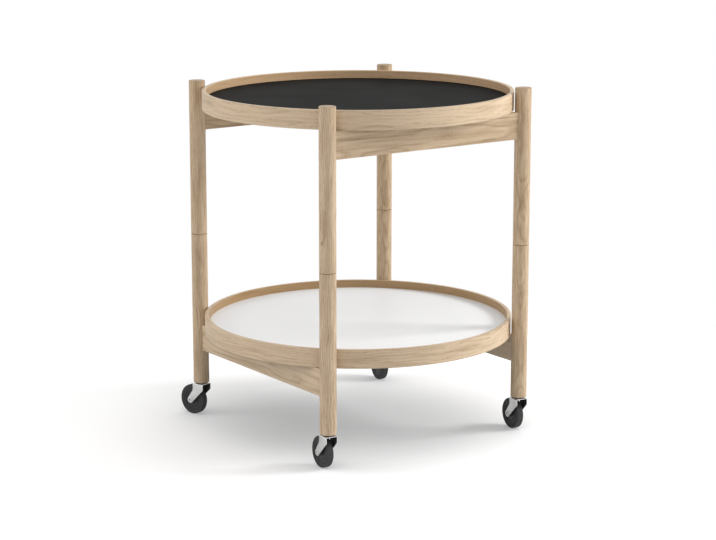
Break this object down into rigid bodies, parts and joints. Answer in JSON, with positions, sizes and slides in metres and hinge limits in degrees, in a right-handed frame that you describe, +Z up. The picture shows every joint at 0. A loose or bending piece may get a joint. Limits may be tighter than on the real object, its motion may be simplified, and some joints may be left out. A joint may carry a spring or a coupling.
{
  "type": "serving trolley",
  "caption": "Low round serving trolley: reversible round trays with bent oak rims rest on the rails of a round-legged oak frame on small swivel casters.",
  "frame": {"origin": "on the floor, on the trays' common vertical axis", "axes": "+Z up; the upper rails run along Y, the lower rails along X; the legs stand at the four corners of a square whose sides are parallel to X and Y"},
  "size_m": [0.5, 0.5, 0.5625],
  "materials": {
    "oak": "whitewashed oak, oiled, fine open grain",
    "core_board": "thin plywood",
    "black_laminate": "satin black laminate",
    "white_laminate": "satin white laminate",
    "zinc_steel": "bright zinc-plated pressed steel",
    "insert_steel": "plated steel",
    "spring_steel": "spring steel",
    "caster_plastic": "moulded black plastic",
    "washer_plastic": "grey plastic",
    "tyre_rubber": "soft black tread"
  },
  "bodies": {
    "frame": {"upper_leg_front": "oak", "lower_leg_front": "oak", "caster_stem_front": "zinc_steel", "upper_leg_right": "oak", "lower_leg_right": "oak", "caster_stem_right": "zinc_steel", "upper_leg_back": "oak", "lower_leg_back": "oak", "caster_stem_back": "zinc_steel", "upper_leg_left": "oak", "lower_leg_left": "oak", "caster_stem_left": "zinc_steel", "lower_rail_front": "oak", "lower_rail_back": "oak", "upper_rail_right": "oak", "upper_rail_left": "oak", "leg_joint_inserts": "insert_steel", "leg_joint_studs": "insert_steel", "caster_sockets": "insert_steel", "stem_grip_rings": "spring_steel"},
    "top_tray": {"top_tray_rim": "oak", "top_tray_board": "core_board", "top_tray_black_face": "black_laminate", "top_tray_white_face": "white_laminate"},
    "lower_tray": {"lower_tray_rim": "oak", "lower_tray_board": "core_board", "lower_tray_black_face": "black_laminate", "lower_tray_white_face": "white_laminate"},
    "caster_front": {"fork_front": "zinc_steel", "thrust_washer_front": "washer_plastic", "axle_rivet_front": "zinc_steel", "axle_sleeve_front": "insert_steel"},
    "wheel_front": {"wheel_core_front": "caster_plastic", "tyre_front": "tyre_rubber"},
    "caster_right": {"fork_right": "zinc_steel", "thrust_washer_right": "washer_plastic", "axle_rivet_right": "zinc_steel", "axle_sleeve_right": "insert_steel"},
    "wheel_right": {"wheel_core_right": "caster_plastic", "tyre_right": "tyre_rubber"},
    "caster_back": {"fork_back": "zinc_steel", "thrust_washer_back": "washer_plastic", "axle_rivet_back": "zinc_steel", "axle_sleeve_back": "insert_steel"},
    "wheel_back": {"wheel_core_back": "caster_plastic", "tyre_back": "tyre_rubber"},
    "caster_left": {"fork_left": "zinc_steel", "thrust_washer_left": "washer_plastic", "axle_rivet_left": "zinc_steel", "axle_sleeve_left": "insert_steel"},
    "wheel_left": {"wheel_core_left": "caster_plastic", "tyre_left": "tyre_rubber"}
  },
  "joints": [
    {"name": "top_tray_lift", "type": "slide", "parent": "frame", "child": "top_tray", "axis": [0, 0, 1], "range_m": [0, 0.12]},
    {"name": "lower_tray_lift", "type": "slide", "parent": "frame", "child": "lower_tray", "axis": [0, 0, 1], "range_m": [0, 0.29]},
    {"name": "swivel_front", "type": "hinge", "parent": "frame", "child": "caster_front", "pos_m": [0.1876, -0.1876, 0.0539], "axis": [0, 0, 1], "continuous": true},
    {"name": "roll_front", "type": "hinge", "parent": "caster_front", "child": "wheel_front", "pos_m": [0.17046, -0.1861, 0.025], "axis": [-0.0872, -0.9962, 0], "continuous": true},
    {"name": "swivel_right", "type": "hinge", "parent": "frame", "child": "caster_right", "pos_m": [0.1876, 0.1876, 0.0539], "axis": [0, 0, 1], "continuous": true},
    {"name": "roll_right", "type": "hinge", "parent": "caster_right", "child": "wheel_right", "pos_m": [0.17056, 0.18999, 0.025], "axis": [-0.1392, -0.9903, 0], "continuous": true},
    {"name": "swivel_back", "type": "hinge", "parent": "frame", "child": "caster_back", "pos_m": [-0.1876, 0.1876, 0.0539], "axis": [0, 0, 1], "continuous": true},
    {"name": "roll_back", "type": "hinge", "parent": "caster_back", "child": "wheel_back", "pos_m": [-0.20456, 0.19043, 0.025], "axis": [-0.165, -0.9863, 0], "continuous": true},
    {"name": "swivel_left", "type": "hinge", "parent": "frame", "child": "caster_left", "pos_m": [-0.1876, -0.1876, 0.0539], "axis": [0, 0, 1], "continuous": true},
    {"name": "roll_left", "type": "hinge", "parent": "caster_left", "child": "wheel_left", "pos_m": [-0.20409, -0.19248, 0.025], "axis": [0.284, -0.9588, 0], "continuous": true}
  ]
}
